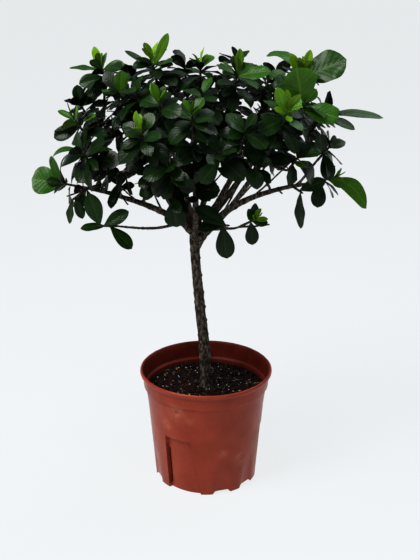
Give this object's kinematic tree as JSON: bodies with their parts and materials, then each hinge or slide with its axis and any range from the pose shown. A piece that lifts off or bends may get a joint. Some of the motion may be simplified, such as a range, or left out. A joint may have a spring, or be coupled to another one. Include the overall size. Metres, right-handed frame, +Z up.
{
  "type": "potted gardenia",
  "caption": "Gardenia trained as a small standard tree: a bare stem forks into a wide, flat-topped crown of glossy evergreen leaves, growing in a round plastic nursery pot of compost.",
  "frame": {"origin": "centre of the plant's plan extents on the surface that the pot stands on, which is also the pot's own axis to within 3 mm", "axes": "+Z up along the pot's axis; +X to the right and +Y away from the viewer as the plant is seen from its front"},
  "size_m": [0.4193, 0.2857, 0.574],
  "materials": {
    "pot_plastic": "brick-red polypropylene with a soft sheen and light scuffs",
    "compost": "dark moist peat compost with perlite, bark and fibre",
    "bark": "grey-brown bark, rough, with leaf scars",
    "leaf": "dark green waxy leaf with a gloss",
    "young_leaf": "yellow-green young leaf, glossy"
  },
  "bodies": {
    "root": {"pot": "pot_plastic", "soil": "compost", "wood": "bark", "spray_crest_left": "leaf", "shoot_crest_left": "young_leaf", "spray_crest_left_front": "leaf", "spray_shoulder_left": "leaf", "spray_high_left_inner": "leaf", "spray_crest_middle_left": "leaf", "shoot_crest_middle_left": "young_leaf", "spray_crest_middle_front": "leaf", "spray_middle_front": "leaf", "shoot_middle_front": "young_leaf", "spray_front_left_tip": "leaf", "shoot_front_left_tip": "young_leaf", "spray_front_left_side": "leaf", "spray_left_upper": "leaf", "shoot_left_upper": "young_leaf", "spray_left_end": "leaf", "spray_left_hanging": "leaf", "spray_left_inner": "leaf", "spray_left_middle": "leaf", "spray_low_left_tip": "leaf", "spray_fork_front": "leaf", "spray_front_tip": "leaf", "shoot_front_tip": "young_leaf", "spray_front_left_face": "leaf", "spray_front_face": "leaf", "spray_crest_front": "leaf", "spray_low_right_near": "leaf", "spray_low_right_tip": "leaf", "shoot_low_right_tip": "young_leaf", "spray_right_pendant": "leaf", "spray_right_end": "leaf", "shoot_right_end": "young_leaf", "spray_right_upper": "leaf", "spray_right_inner": "leaf", "spray_shoulder_right": "leaf", "spray_crest_right": "leaf", "shoot_crest_right": "young_leaf", "spray_crest_right_front": "leaf", "spray_crest_inner_right": "leaf", "spray_front_right_tip": "leaf", "shoot_front_right_tip": "young_leaf", "spray_front_right_high": "leaf", "spray_front_right_side": "leaf", "spray_front_right_low": "leaf", "spray_crest_middle_right": "leaf", "shoot_crest_middle_right": "young_leaf", "spray_crest_middle": "leaf", "shoot_crest_middle": "young_leaf", "spray_back_crest": "leaf", "spray_back_tip": "leaf", "spray_back_low": "leaf", "spray_back_left_tip": "leaf", "spray_back_left_side": "leaf", "spray_back_left_low": "leaf", "spray_back_right_tip": "leaf", "spray_back_right_side": "leaf", "spray_back_right_low": "leaf"}
  },
  "joints": []
}
